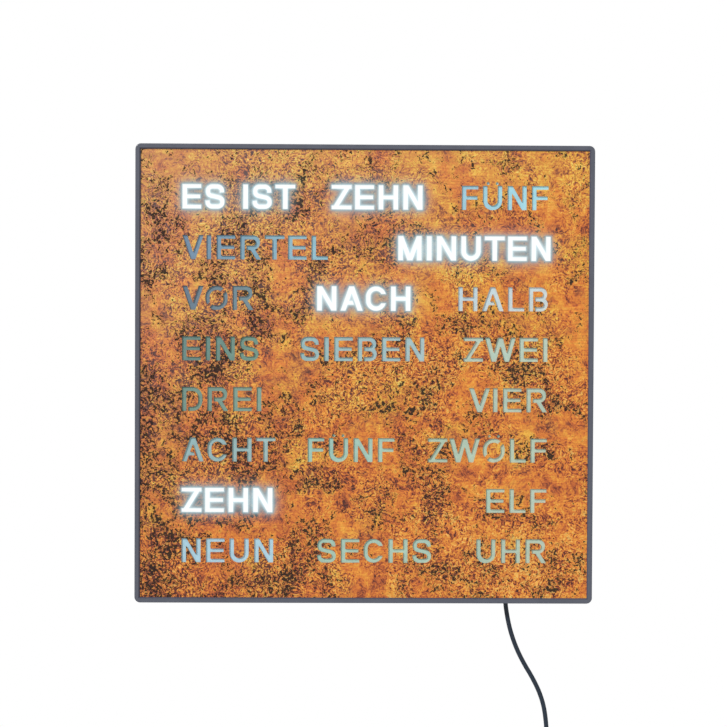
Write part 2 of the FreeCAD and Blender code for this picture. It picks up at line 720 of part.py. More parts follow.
def make_cover():
    body = new_body("cover_sheet")
    outline = rectangle(body, "cover_outline", STACK_SIDE, STACK_SIDE, (-stack_half, -stack_half))
    pad(body, "cover_pad", outline, "cover_thick")
    bay = rectangle(body, "cover_bay_outline", "bay_width", "bay_height + frame_wall",
                    (bay_left, -half_side))
    pocket(body, "cover_bay", bay, "cover_thick")
    vent_low = half_side - mm.vent_drop
    for name, left in (("left", mm.vent_inset - half_side),
                       ("right", half_side - mm.vent_inset - mm.vent_step * (VENTS - 1))):
        slot = rectangle(body, f"vent_{name}_outline", "vent_width", "vent_height", (left, vent_low))
        vent = pocket(body, f"vent_{name}", slot, "cover_thick")
        doc.recompute()
        vents = body.newObject("PartDesign::LinearPattern", f"vents_{name}")
        vents.Originals = [vent]
        vents.Direction = (slot, ["H_Axis"])
        bind(vents, "Length", f"vent_step * {VENTS - 1}")
        vents.Occurrences = VENTS
        body.Tip = vents
        doc.recompute()
    holes = [keyhole("keyhole_left", -mm.keyhole_span / 2), keyhole("keyhole_right", mm.keyhole_span / 2)]
    screws = []
    for number, (quarter, x, z) in enumerate(turned_places(block_offset, mm.block_width / 2), 1):
        holes.append(countersunk_hole(f"cover_hole_{number}", x, z))
        screws.append(countersunk_screw(f"cover_screw_{number}", x, z, "screw_length"))
    bay_screws = []
    for number, (left, up) in enumerate(ear_places(), 1):
        x, z = left + mm.ear_length / 2, up + mm.ear_height / 2
        holes.append(countersunk_hole(f"bay_hole_{number}", x, z))
        bay_screws.append(countersunk_screw(f"bay_screw_{number}", x, z, "bay_screw_length"))
    node("back_cover", cut("cover_with_holes", body, group("cover_holes", holes)))
    node("cover_screws", group("eight_cover_screws", screws))
    node("bay_screws", group("two_bay_screws", bay_screws))
    plates = []
    for number, side in enumerate((-1, 1), 1):
        x = side * mm.keyhole_span / 2
        low = keyhole_low + mm.keyhole_rise / 2 - mm.keyhole_plate_height / 2
        plate = box(f"keyhole_plate_{number}",
                    ("keyhole_plate_width", "keyhole_plate_thick", "keyhole_plate_height"),
                    (x - mm.keyhole_plate_width / 2, -mm.cover_thick - mm.keyhole_plate_thick, low))
        plates.append(cut(f"keyhole_plate_cut_{number}", plate, holes[number - 1]))
    node("keyhole_plates", group("two_keyhole_plates", plates))


# Connector bay with the power jack, the plug and the three setting buttons
bay_top = -inner_half + mm.bay_height
shelf = bay_top + mm.bay_wall
jack_depth = board_back - mm.jack_axis
button_depth = board_back - mm.switch_height / 2


def button_places():
    for index, name in enumerate(("hour", "minute", "brightness")):
        yield name, bay_left + mm.button_inset + index * mm.button_step


def make_bay():
    low = -inner_half + mm.bay_gap
    shell = box("bay_shell", ("bay_width + 2 * bay_wall", BAY_DEPTH + " + bay_wall - cover_thick",
                              "bay_height + bay_wall - bay_gap"),
                (bay_left - mm.bay_wall, -bay_depth - mm.bay_wall, low))
    hollow = box("bay_hollow", ("bay_width", BAY_DEPTH, "bay_height"),
                 (bay_left, -bay_depth, -inner_half))
    ears = []
    pilots = []
    for number, (left, up) in enumerate(ear_places(), 1):
        ears.append(box(f"ear_{number}", ("ear_length", "ear_thick", "ear_height"),
                        (left, -mm.cover_thick - mm.ear_thick, up)))
        pilots.append(rod(f"ear_pilot_{number}", "screw_radius + screw_gap", "ear_thick + 2",
                          (left + mm.ear_length / 2, -mm.cover_thick + 1, up + mm.ear_height / 2), "-Y"))
    pilots.append(rod("jack_window", "barrel_radius + 2 * button_hole_gap", "3 * bay_wall",
                      (plug_across, -jack_depth, bay_top - mm.bay_wall), "+Z"))
    for name, x in button_places():
        pilots.append(rod(f"{name}_window", "plunger_radius + button_hole_gap", "3 * bay_wall",
                          (x, -button_depth, bay_top - mm.bay_wall), "+Z"))
    tray = fuse("bay_with_ears", shell, *ears)
    node("connector_bay", cut("bay_tray", tray, group("bay_cuts", [hollow] + pilots)))


def make_jack():
    x = plug_across
    housing = box("jack_block", ("jack_width", "jack_height", "jack_length"),
                  (x - mm.jack_width / 2, -board_back, shelf))
    bore = rod("jack_hole", "jack_bore", "jack_bore_depth", (x, -jack_depth, shelf), "+Z")
    node("dc_jack_housing", cut("jack_bored", housing, bore))
    node("dc_jack_contact", rod("jack_middle_pin", "jack_pin", "jack_bore_depth - 1",
                                (x, -jack_depth, shelf + 1), "+Z"))
    shoulder = bay_top - mm.plug_gap
    sleeve = rod("barrel_outside", "barrel_radius", "barrel_length", (x, -jack_depth, shoulder), "+Z")
    inside = rod("barrel_inside", "barrel_bore", "barrel_length", (x, -jack_depth, shoulder), "+Z")
    node("dc_plug_barrel", cut("barrel_tube", sleeve, inside))
    grip = rod("plug_grip", "grip_radius", "grip_length", (x, -jack_depth, shoulder), "-Z")
    boot = cone("plug_boot", "boot_radius", "boot_tip", "boot_length",
                (x, -jack_depth, shoulder - mm.grip_length), "-Z")
    node("dc_plug_grip", fuse("grip_and_boot", grip, boot))


def make_buttons():
    bodies = []
    for name, x in button_places():
        block = box(f"{name}_switch_block", ("switch_side", "switch_height", "switch_side"),
                    (x - mm.switch_side / 2, -board_back, shelf))
        well = rod(f"{name}_switch_well", "plunger_radius + plunger_fit",
                   "plunger_seat + button_travel + button_spare", (x, -button_depth, shelf), "+Z")
        bodies.append(cut(f"{name}_switch_body", block, well))
        cap_top = bay_top - mm.button_travel - mm.button_spare
        plunger = rod(f"{name}_stem", "plunger_radius",
                      "plunger_seat + bay_wall + button_travel + button_spare + button_socket",
                      (x, -button_depth, cap_top - mm.button_socket), "+Z")
        node(f"{name}_button_plunger", plunger)
        blank = rod(f"{name}_cap_blank", "button_radius", "button_height",
                    (x, -button_depth, cap_top - mm.button_height), "+Z")
        soft = doc.addObject("Part::Fillet", f"{name}_cap_round")
        doc.recompute()
        soft.Base = blank
        foot = edges_where(blank.Shape, lambda p: near(p.z, cap_top - mm.button_height))
        soft.Edges = [(int(edge[4:]), mm.button_edge, mm.button_edge) for edge in foot[:1]]
        socket = rod(f"{name}_cap_socket", "plunger_radius", "button_socket",
                     (x, -button_depth, cap_top - mm.button_socket), "+Z")
        node(f"{name}_button_cap", cut(f"{name}_cap", soft, socket))
    node("button_switches", group("three_switches", bodies))


# Carrier sheet, controller board and what is on it
board_low = shelf + mm.board_lift
CABLE = SimpleNamespace(width=12, thick=0.8, lift=3.8, rise=4, drop=11, bend=2, slot_room=1.5)


def board_corners():
    for side in (mm.standoff_inset, mm.board_width - mm.standoff_inset):
        for up in (mm.standoff_inset, mm.board_height - mm.standoff_inset):
            yield board_left + side, board_low + up


def make_carrier():
    sheet_item = stack_sheet("carrier_blank", "carrier_thick", strip_back)
    slot_half = CABLE.width / 2 + CABLE.slot_room
    middle = board_left + mm.board_width / 2
    slot = doc.addObject("Part::Box", "cable_slot")
    slot.Length = 2 * slot_half
    bind(slot, "Width", "carrier_thick + 2")
    slot.Height = 2 * CABLE.bend + 2 * CABLE.slot_room
    slot.Placement = Placement(Vector(middle - slot_half, -strip_back - 1,
                                      cable_end() - CABLE.drop - CABLE.bend - CABLE.slot_room), Rotation())
    node("strip_carrier", cut("carrier_with_slot", sheet_item, slot))


def cable_end():
    """The lower edge of the strip that the flat cable runs up to from over the board's top edge."""
    lowest = board_low + mm.board_height + CABLE.rise + CABLE.drop
    return min(height - mm.strip_width / 2 for height in row_heights if height - mm.strip_width / 2 > lowest)


def make_board():
    board = box("board_blank", ("board_width", "board_thick", "board_height"),
                (board_left, -board_front, board_low))
    holes = []
    standoffs = []
    screws = []
    for number, (x, z) in enumerate(board_corners(), 1):
        holes.append(rod(f"board_hole_{number}", "screw_radius + screw_gap", "board_thick + 2",
                         (x, -board_front - 1, z), "+Y"))
        post = rod(f"standoff_{number}", "standoff_radius", "standoff_height", (x, -carrier_back, z), "+Y")
        thread = rod(f"standoff_bore_{number}", "screw_radius + screw_gap", "standoff_height",
                     (x, -carrier_back, z), "+Y")
        standoffs.append(cut(f"drilled_standoff_{number}", post, thread))
        head = rod(f"board_head_{number}", "head_radius", "head_height", (x, -board_back, z), "+Y")
        shank = rod(f"board_shank_{number}", "screw_radius", "board_screw_length - head_height",
                    (x, -board_back, z), "-Y")
        screws.append(fuse(f"board_screw_{number}", head, shank))
    node("controller_board", cut("board_drilled", board, group("board_holes", holes)))
    node("board_standoffs", group("four_standoffs", standoffs))
    node("board_screws", group("four_board_screws", screws))


# Board parts: width, height up the board, thickness out from it, and the place of the low corner on the board
CHIPS = {
    "microcontroller": (10, 10, 1.4, 20, 26),
    "clock_chip": (5, 4, 1.5, 20, 45),
    "voltage_regulator": (6.5, 3.6, 1.6, 66, 30),
    "strip_connector": (14, 6, 6, 35, 53),
}
LEAD = SimpleNamespace(width=0.5, length=1, thick=0.4, step=1.25)


def chip(name, leads_across, leads_up):
    """A chip with its leads, flat on the board's rear face."""
    wide, high, thick, across, up = CHIPS[name]
    left, low = board_left + across, board_low + up
    pieces = [Part.makeBox(wide, thick, high, Vector(left, -board_back, low))]
    for index in range(leads_across):
        x = left + wide / 2 + (index - (leads_across - 1) / 2) * LEAD.step - LEAD.width / 2
        for z in (low - LEAD.length, low + high):
            pieces.append(Part.makeBox(LEAD.width, LEAD.thick, LEAD.length, Vector(x, -board_back, z)))
    for index in range(leads_up):
        z = low + high / 2 + (index - (leads_up - 1) / 2) * LEAD.step - LEAD.width / 2
        for x in (left - LEAD.length, left + wide):
            pieces.append(Part.makeBox(LEAD.length, LEAD.thick, LEAD.width, Vector(x, -board_back, z)))
    return shaped(name + "_solid", pieces[0].fuse(pieces[1:]).removeSplitter())


CELL = SimpleNamespace(radius=10, thick=3.2, rim=1.6, floor=1, across=45, up=30)
CAPACITORS = SimpleNamespace(radius=3.2, height=7, places=((66, 42), (75, 42)))
CRYSTAL = SimpleNamespace(radius=1, length=6, across=30, up=47)
SMALL_PARTS = SimpleNamespace(size=(2, 1.2, 1.2),
                              places=((16, 21), (27, 20), (16, 38), (62, 22), (60, 37), (28, 41)))


def make_board_parts():
    node("microcontroller", chip("microcontroller", 7, 7))
    node("clock_chip", chip("clock_chip", 4, 0))
    node("voltage_regulator", chip("voltage_regulator", 3, 0))
    node("strip_connector", chip("strip_connector", 0, 0))
    can = Part.makeCylinder(CRYSTAL.radius, CRYSTAL.length,
                            Vector(board_left + CRYSTAL.across, -board_back + CRYSTAL.radius,
                                   board_low + CRYSTAL.up), Vector(1, 0, 0))
    node("clock_crystal", shaped("crystal_can", can))
    cans = [
        Part.makeCylinder(CAPACITORS.radius, CAPACITORS.height,
                          Vector(board_left + x, -board_back, board_low + z), Vector(0, 1, 0))
        for x, z in CAPACITORS.places
    ]
    node("power_capacitors", shaped("capacitor_cans", Part.makeCompound(cans)))
    wide, thick, high = SMALL_PARTS.size
    small = [
        Part.makeBox(wide, thick, high, Vector(board_left + x, -board_back, board_low + z))
        for x, z in SMALL_PARTS.places
    ]
    node("ceramic_capacitors", shaped("small_capacitors", Part.makeCompound(small)))
    middle = Vector(board_left + CELL.across, -board_back, board_low + CELL.up)
    out = Vector(0, 1, 0)
    seat = middle + out * CELL.floor
    cup = Part.makeCylinder(CELL.radius + CELL.rim, CELL.floor + CELL.thick, middle, out)
    cup = cup.cut(Part.makeCylinder(CELL.radius + mm.stack_gap / 2, CELL.thick, seat, out))
    node("coin_cell_holder", shaped("cell_cup", cup))
    node("coin_cell", shaped("cell_disc", Part.makeCylinder(CELL.radius, CELL.thick, seat, out)))


def make_cable():
    """A flat cable from the board's connector, over the board and through the carrier to a light strip."""
    top = board_low + sum(CHIPS["strip_connector"][index] for index in (1, 4))
    forward = cable_end() - CABLE.drop
    near_strip = strip_back + mm.strip_thick / 2
    near_board = board_back - CABLE.lift
    route = [(near_board, top), (near_board, forward), (near_strip, forward), (near_strip, cable_end())]
    flat_cable = band(route, CABLE.bend, CABLE.thick)
    solid = flat_cable.extrude(Vector(0, CABLE.width, 0))
    solid.rotate(Vector(0, 0, 0), Vector(0, 0, 1), -90)
    solid.translate(Vector(board_left + mm.board_width / 2 - CABLE.width / 2, 0, 0))
    node("strip_cable", shaped("flat_cable", solid))


# Power cord: free stretches as tubes of straight runs and tangent arcs, and the put-away length as a coil
def tube(path, label):
    """A solid tube along a wire, with its volume compared with section times length."""
    edge = path.OrderedEdges[0]
    first = path.OrderedVertexes[0].Point
    along = edge.tangentAt(edge.FirstParameter)
    if (edge.valueAt(edge.FirstParameter) - first).Length > 1e-6:
        along = edge.tangentAt(edge.LastParameter) * -1
    ring = Part.Wire(Part.Circle(first, along, mm.cord_radius).toShape())
    solid = path.makePipeShell([ring], True, False)
    share = solid.Volume / (math.pi * mm.cord_radius ** 2 * path.Length)
    print(f"{label}: {path.Length:.1f} mm long, volume {share:.4f} of section times length")
    return solid


def route_tube(points, label):
    points = [Vector(x, -depth, z) for x, depth, z in points]
    edges = []
    radii = []
    last = points[0]
    for index in range(1, len(points) - 1):
        before, here, after = points[index - 1:index + 2]
        shorter = min(here.distanceToPoint(before), here.distanceToPoint(after))
        half_angle = (before - here).getAngle(after - here) / 2
        radius = 0.45 * shorter * math.tan(half_angle)
        first, middle, end, centre = corner_arc(before, here, after, radius)
        edges.append(Part.LineSegment(last, first).toShape())
        edges.append(Part.Arc(first, middle, end).toShape())
        radii.append(round(radius, 1))
        last = end
    edges.append(Part.LineSegment(last, points[-1]).toShape())
    print(f"{label}: arc radii {radii}")
    return tube(Part.Wire(edges), label)


cord_end = plug_across + mm.cord_end_shift
coil_middle = Vector(cord_end - mm.coil_radius, -mm.coil_depth, -half_side - mm.coil_drop)


def coil_point(turn):
    """A point of the coil: it spirals in on the layer near the wall, climbs, and spirals out again."""
    quarter = 0.25
    past = turn - COIL_TURNS / 2
    inside = abs(past) < quarter
    in_turns = COIL_TURNS / 2 - (past ** 2 / (2 * quarter) + quarter / 2 if inside else abs(past))
    radius = mm.coil_radius - mm.coil_pitch * in_turns
    climb = min(max((past + quarter) / (2 * quarter), 0), 1)
    layer = mm.coil_pitch * climb ** 2 * (3 - 2 * climb)
    angle = 2 * math.pi * turn
    return coil_middle + Vector(radius * math.cos(angle), -layer, -radius * math.sin(angle))


def coil_way(turn):
    """The unit tangent of the coil."""
    step = 1e-4
    return (coil_point(turn + step) - coil_point(turn - step)).normalize()


def leaning_arc(start, way, end):
    """The arc from a point in a direction to another point."""
    chord = (end - start).normalize()
    lean = way - chord * way.dot(chord)
    middle = (start + end) / 2
    if lean.Length > 1e-9:
        middle += lean.normalize() * (start.distanceToPoint(end) / 2 * math.tan(way.getAngle(chord) / 2))
    return Part.Arc(start, middle, end).toShape()


def biarc(start, way, end, end_way):
    """Two arcs that join two points and keep the directions at both."""
    chord = end - start
    both = way + end_way
    spread = 2 * (1 - way.dot(end_way))
    reach = (math.sqrt(chord.dot(both) ** 2 + spread * chord.dot(chord)) - chord.dot(both)) / spread
    joint = (start + end + (way - end_way) * reach) / 2
    return [leaning_arc(start, way, joint), leaning_arc(end, end_way * -1, joint)]


def coil_ends():
    """The two ends of the coil's tube, each one cord diameter straight on from its last turn."""
    straight = 2 * mm.cord_radius
    return (coil_point(0) - coil_way(0) * straight,
            coil_point(COIL_TURNS) + coil_way(COIL_TURNS) * straight)


def make_coil():
    start, end = coil_ends()
    edges = [Part.LineSegment(start, coil_point(0)).toShape()]
    for quarter in range(4 * COIL_TURNS):
        here, there = quarter / 4, (quarter + 1) / 4
        edges += biarc(coil_point(here), coil_way(here), coil_point(there), coil_way(there))
    edges.append(Part.LineSegment(coil_point(COIL_TURNS), end).toShape())
    points = [coil_point(index / GAP_SAMPLES) for index in range(COIL_TURNS * GAP_SAMPLES + 1)]
    least = min(
        one.distanceToPoint(other)
        for index, one in enumerate(points)
        for other in points[index + GAP_SAMPLES // 2:]
    )
    print(f"power_cord_coil: least gap between turns {least - 2 * mm.cord_radius:.2f} mm")
    node("power_cord_coil", shaped("coil_tube", tube(Part.Wire(edges), "power_cord_coil")))


adapter_middle = Vector(cord_end, -mm.adapter_gap - mm.adapter_depth / 2, coil_middle.z - mm.adapter_drop)


def make_cord():
    boot_end = bay_top - mm.plug_gap - mm.grip_length - mm.boot_length
    start, end = coil_ends()
    before = start - coil_way(0) * CORD_LEAD
    drop = [(plug_across, jack_depth, boot_end)]
    drop += [(plug_across + across, depth, up - half_side) for across, depth, up in CORD_ROUTE]
    drop += [(point.x, -point.y, point.z) for point in (before, start)]
    node("power_cord_drop", shaped("drop_tube", route_tube(drop, "power_cord_drop")))
    make_coil()
    tip = adapter_middle + Vector(0, 0, mm.relief_length)
    run = (end.z - tip.z) / 3
    after = end + coil_way(COIL_TURNS) * run
    above = tip + Vector(0, 0, run)
    tail = [(point.x, -point.y, point.z) for point in (end, after, above, tip)]
    node("power_cord_tail", shaped("tail_tube", route_tube(tail, "power_cord_tail")))


def make_tie():
    """A band round all the turns at the top of the coil."""
    radius = mm.cord_radius
    outer_turn = max(coil_point(turn + 0.75).z for turn in range(COIL_TURNS))
    inner_turn = min(coil_point(turn + 0.75).z for turn in range(COIL_TURNS // 2, COIL_TURNS))
    inner_radius = inner_turn - coil_middle.z
    sag = inner_radius - math.sqrt(inner_radius ** 2 - (mm.tie_length / 2) ** 2)
    low = inner_turn - sag - radius - mm.tie_gap
    high = outer_turn + radius + mm.tie_gap
    front = coil_middle.y - mm.coil_pitch - radius - mm.tie_gap
    rear = coil_middle.y + radius + mm.tie_gap
    left = coil_middle.x - mm.tie_length / 2
    thick = mm.tie_thick
    outer = Part.makeBox(mm.tie_length, rear - front + 2 * thick, high - low + 2 * thick,
                         Vector(left, front - thick, low - thick))
    outer = outer.makeFillet(thick * 1.5, [edge for edge in outer.Edges if abs(edge.tangentAt(0).x) > 0.5])
    inner = Part.makeBox(mm.tie_length, rear - front, high - low, Vector(left, front, low))
    node("cord_tie", shaped("tie_band", outer.cut(inner)))


# Plug-in supply at the cord's far end
def make_adapter():
    left = adapter_middle.x - mm.adapter_width / 2
    front = adapter_middle.y - mm.adapter_depth / 2
    low = adapter_middle.z - mm.adapter_height
    blank = box("adapter_blank", ("adapter_width", "adapter_depth", "adapter_height"), (left, front, low))
    doc.recompute()
    soft = doc.addObject("Part::Fillet", "adapter_round")
    soft.Base = blank
    soft.Edges = [(index, mm.adapter_edge, mm.adapter_edge) for index in range(1, len(blank.Shape.Edges) + 1)]
    inner_sides = ("adapter_width - 2 * adapter_wall", "adapter_depth - 2 * adapter_wall",
                   "adapter_height - 2 * adapter_wall")
    wall = mm.adapter_wall
    inside = box("adapter_inside", inner_sides, (left + wall, front + wall, low + wall))
    hollow = cut("adapter_hollow", soft, inside)
    whole = ("adapter_depth + 2", "adapter_height + 2")
    near_side = box("adapter_near_half", ("adapter_split + 1", *whole), (left - 1, front - 1, low - 1))
    far_side = box("adapter_far_half", ("adapter_width - adapter_split + 1", *whole),
                   (left + mm.adapter_split, front - 1, low - 1))
    for label, half in (("adapter_base", near_side), ("adapter_cover", far_side)):
        shell = doc.addObject("Part::Common", label + "_shell")
        shell.Base = hollow
        shell.Tool = half
        node(label, shell)
    pins = []
    for number, side in enumerate((-1, 1), 1):
        height = adapter_middle.z - mm.adapter_height / 2 + side * mm.pin_spacing / 2
        pins.append(rod(f"pin_{number}", "pin_radius", "pin_length", (left, adapter_middle.y, height), "-X"))
    node("adapter_pins", group("two_pins", pins))
    relief = cone("relief_cone", "relief_radius", "relief_tip", "relief_length", tuple(adapter_middle), "+Z")
    node("adapter_strain_relief", relief)
    plate = box("adapter_circuit", ("board_thick", *inner_sides[1:]),
                (left + mm.adapter_split, front + wall, low + wall))
    node("adapter_board", plate)
    core = box("adapter_core", ("core_width", "core_depth", "core_height"),
               (left + mm.adapter_split + mm.board_thick, adapter_middle.y - mm.core_depth / 2,
                adapter_middle.z - mm.adapter_height / 2 - mm.core_height / 2))
    node("adapter_transformer", core)


def check_and_write():
    """Writes each sub-part, once every feature is sound and every pocket has taken material away."""
    doc.recompute()
    for item in doc.Objects:
        bad = {"Invalid", "Error"} & set(item.State)
        if bad:
            raise RuntimeError(f"{item.Name} is {bad}")
        if item.TypeId == "PartDesign::Pocket" and item.Shape.Volume >= item.BaseFeature.Shape.Volume - 1:
            raise RuntimeError(f"{item.Name} cuts nothing")
    os.makedirs("parts", exist_ok=True)
    for item in nodes:
        if item.Shape.isNull() or not item.Shape.isValid() or not item.Shape.Solids:
            raise RuntimeError(f"{item.Label} is not a valid solid")
        item.Shape.exportStep(f"parts/{item.Label}.step")
    print(f"{len(nodes)} sub-parts written")


make_frame()
make_stack()
make_strips()
make_blocks()
make_carrier()
make_cover()
make_bay()
make_jack()
make_buttons()
make_board()
make_board_parts()
make_cable()
make_cord()
make_tie()
make_adapter()
check_and_write()
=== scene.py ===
import math

import bmesh
import bpy
import numpy as np
from mathutils import Matrix, Vector
from mathutils.geometry import delaunay_2d_cdt


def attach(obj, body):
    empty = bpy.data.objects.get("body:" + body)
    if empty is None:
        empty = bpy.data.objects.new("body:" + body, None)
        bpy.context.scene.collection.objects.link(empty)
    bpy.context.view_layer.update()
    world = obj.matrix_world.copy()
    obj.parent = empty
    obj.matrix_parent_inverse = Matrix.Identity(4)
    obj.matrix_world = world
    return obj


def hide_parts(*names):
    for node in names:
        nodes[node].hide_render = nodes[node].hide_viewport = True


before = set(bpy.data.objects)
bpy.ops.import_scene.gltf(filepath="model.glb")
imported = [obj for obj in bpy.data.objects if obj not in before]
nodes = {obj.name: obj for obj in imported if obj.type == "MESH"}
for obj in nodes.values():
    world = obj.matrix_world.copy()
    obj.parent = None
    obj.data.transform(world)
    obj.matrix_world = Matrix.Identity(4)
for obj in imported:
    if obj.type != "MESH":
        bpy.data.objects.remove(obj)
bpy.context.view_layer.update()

# Dimensions in metres, as in the part's source
FACE_FRONT = -0.034
FACE_BACK = -0.032
DIFFUSER_BACK = -0.0305
FACE_HALF = 0.1965
ROW_PITCH = 0.0441
TOP_ROW = 3.5 * ROW_PITCH
BUTTONS = ("hour", "minute", "brightness")

# Half the height of a word's box, and the room on either side of it that has its light and tint
WORD_HALF = 0.0115
WORD_MARGIN = 0.002

# Colour of the opal sheet itself behind a lit word
LIT = (70, 72, 72)

# Rows of words: left and right edge, colour at each edge as seen unlit, and whether the word is lit
# The unlit colours are the opal sheet's tint with painted reflection in it
WORDS = (
    (
        (-0.1592, -0.1218, LIT, LIT, True),
        (-0.1064, -0.0609, LIT, LIT, True),
        (-0.0294, 0.0517, LIT, LIT, True),
        (0.0833, 0.1598, (152, 195, 214), (160, 214, 228), False),
    ),
    (
        (-0.1592, -0.0340, (108, 132, 158), (146, 190, 205), False),
        (0.0289, 0.1604, LIT, LIT, True),
    ),
    (
        (-0.1592, -0.0960, (98, 116, 134), (116, 140, 148), False),
        (-0.0416, 0.0425, LIT, LIT, True),
        (0.0800, 0.1598, (184, 204, 214), (192, 208, 212), False),
    ),
    (
        (-0.1592, -0.0912, (102, 132, 128), (112, 146, 132), False),
        (-0.0564, 0.0520, (146, 180, 184), (162, 188, 192), False),
        (0.0865, 0.1598, (172, 194, 182), (182, 200, 184), False),
    ),
    (
        (-0.1592, -0.0895, (112, 142, 132), (128, 158, 146), False),
        (0.0920, 0.1598, (172, 192, 178), (174, 192, 176), False),
    ),
    (
        (-0.1592, -0.0760, (142, 174, 178), (158, 184, 184), False),
        (-0.0494, 0.0275, (150, 188, 178), (162, 194, 180), False),
        (0.0545, 0.1598, (168, 190, 172), (176, 194, 176), False),
    ),
    (
        (-0.1592, -0.0790, LIT, LIT, True),
        (0.1060, 0.1598, (168, 192, 176), (178, 196, 180), False),
    ),
    (
        (-0.1592, -0.0785, (164, 198, 214), (168, 202, 218), False),
        (-0.0410, 0.0590, (158, 190, 176), (166, 194, 180), False),
        (0.0975, 0.1598, (166, 188, 172), (174, 192, 176), False),
    ),
)

# The cord's route in metres, as in the part's source: from the plug's boot, down, round the coil
# and on to the supply
CORD_RADIUS = 0.002
CORD_EXIT = (0.126, -0.0078, -0.1853)
CORD_ROUTE = (
    (0.126, -0.0078, -0.2),
    (0.1278, -0.0073, -0.214),
    (0.1312, -0.0067, -0.229),
    (0.1366, -0.0061, -0.244),
    (0.1434, -0.0056, -0.2575),
    (0.1514, -0.0052, -0.2705),
    (0.1584, -0.0048, -0.285),
    (0.1628, -0.0046, -0.301),
)
CORD_LEAD = 0.019
COIL_TURNS = 9
COIL_STEPS = 24
COIL_RADIUS = 0.0335
COIL_PITCH = 0.0046
COIL_MIDDLE = Vector((0.131, -0.0045, -0.352))
SUPPLY_TOP = Vector((0.1645, -0.015, -0.397))

# The camera that fits the photo: focal length and picture side in pixels, sensor in millimetres
CAMERA_EYE = Vector((-0.03199, -2.0, 0.06105))
CAMERA_AIM = Vector((-0.001, -0.036, 0.00956))
CAMERA_ROLL = 0.00485
CAMERA_FOCAL = 2254.54
PICTURE_SIDE = 727
SENSOR_WIDTH = 36

# The light: the surrounding's colour and strength, and a key light from the upper left with its
# strength, direction and width
SURROUNDING = (0.94, 0.97, 1.0, 1)
SURROUNDING_STRENGTH = 0.45
KEY_STRENGTH = 1.90
KEY_DIRECTION = Vector((0.46, 0.77, -0.45))
KEY_DEGREES = 3

# The face plate's mesh: the step of the points round lit words, how far from the words they reach,
# how much of a step they stay away from the letters' edges, and how close two points are the same
GRID_STEP = 0.0011
GRID_REACH = 0.016
GRID_CLEARANCE = 0.4
SAME_POINT = 1e-7

# Light of the lit words on the metal: its colour, a narrow rim and a wide glow with their reach in
# metres, and its share on the plate's back. One grid point in LAMP_EVERY inside a lit letter gives
# light for itself and its neighbours. An edge within LETTER_REACH of a lit word's box belongs to
# that word's letters.
SPILL_LIGHT = (0.66, 0.90, 0.98)
LETTER_REACH = 0.004
RIM_GLOW = 0.45
RIM_GLOW_REACH = 0.0010
GLOW_REACH = 0.003
GLOW_END = 0.02
LAMP_EVERY = 3
MOST_SPILL = 0.95
BACK_SPILL = 0.5

# The opal sheet: its light behind lit words, a faint painted glow of its own tint elsewhere
# that lightens the unlit words in the plate's shade, and the linear tint of its unseen sides
LAMP_LIGHT = (0.93, 0.96, 0.96)
PAINTED_TINT_GLOW = (0.22, 0.25, 0.235)
UNSEEN_TINT = (0.5, 0.6, 0.6, 1)

# The frame's lip: how far out its darker inner rim of painted shade reaches, and the rim's colour
SHADED_RIM_OUT = 0.1962
PAINTED_RIM_SHADE = (74, 78, 98)

# The patina from dark to light: where each tone starts and has taken over, and the tone
DARKEST_METAL = (84, 46, 34)
METAL_TONES = (
    (0.00, 0.22, (152, 83, 48)),
    (0.20, 0.40, (204, 120, 56)),
    (0.38, 0.56, (232, 153, 59)),
    (0.58, 0.84, (249, 191, 71)),
    (0.86, 1.20, (255, 224, 116)),
)
REDDENING = (0.97, 0.63, 0.68)
VEIL_TONE = (180, 170, 176)
STAIN_TONE = (126, 74, 54)
SOOT_TONE = (18, 14, 20)

BLACK = (0.0, 0.0, 0.0)


def linear(colour):
    """A colour given as 0 to 255 on the screen, as the linear values that a material takes."""
    shares = [part / 255 for part in colour]
    return tuple(
        part / 12.92 if part <= 0.04045 else ((part + 0.055) / 1.055) ** 2.4 for part in shares)


def add_object(name, data):
    """An object of this mesh, curve, camera or light, in the scene."""
    item = bpy.data.objects.new(name, data)
    bpy.context.collection.objects.link(item)
    return item


# Camera
def add_camera():
    ahead = (CAMERA_AIM - CAMERA_EYE).normalized()
    level = ahead.cross(Vector((0, 0, 1))).normalized()
    above = level.cross(ahead)
    right = level * math.cos(CAMERA_ROLL) + above * math.sin(CAMERA_ROLL)
    up = above * math.cos(CAMERA_ROLL) - level * math.sin(CAMERA_ROLL)
    data = bpy.data.cameras.new("camera")
    data.sensor_width = SENSOR_WIDTH
    data.lens = SENSOR_WIDTH * CAMERA_FOCAL / PICTURE_SIDE
    data.clip_start = 0.05
    data.clip_end = 20
    camera = add_object("camera", data)
    turn = Matrix((right, up, -ahead)).transposed().to_4x4()
    camera.matrix_world = Matrix.Translation(CAMERA_EYE) @ turn
    bpy.context.scene.camera = camera


add_camera()


# Cord
def coil_point(turn):
    """A point of the coil: it spirals in near the wall, climbs a layer, and spirals out again."""
    quarter = 0.25
    past = turn - COIL_TURNS / 2
    turning = abs(past) < quarter
    from_middle = past ** 2 / (2 * quarter) + quarter / 2 if turning else abs(past)
    in_turns = COIL_TURNS / 2 - from_middle
    radius = COIL_RADIUS - COIL_PITCH * in_turns
    climb = min(max((past + quarter) / (2 * quarter), 0), 1)
    layer = COIL_PITCH * climb ** 2 * (3 - 2 * climb)
    angle = 2 * math.pi * turn
    return COIL_MIDDLE + Vector((radius * math.cos(angle), -layer, -radius * math.sin(angle)))


def coil_way(turn):
    """The direction in which the coil runs on at a point."""
    step = 1e-4
    return (coil_point(turn + step) - coil_point(turn - step)).normalized()


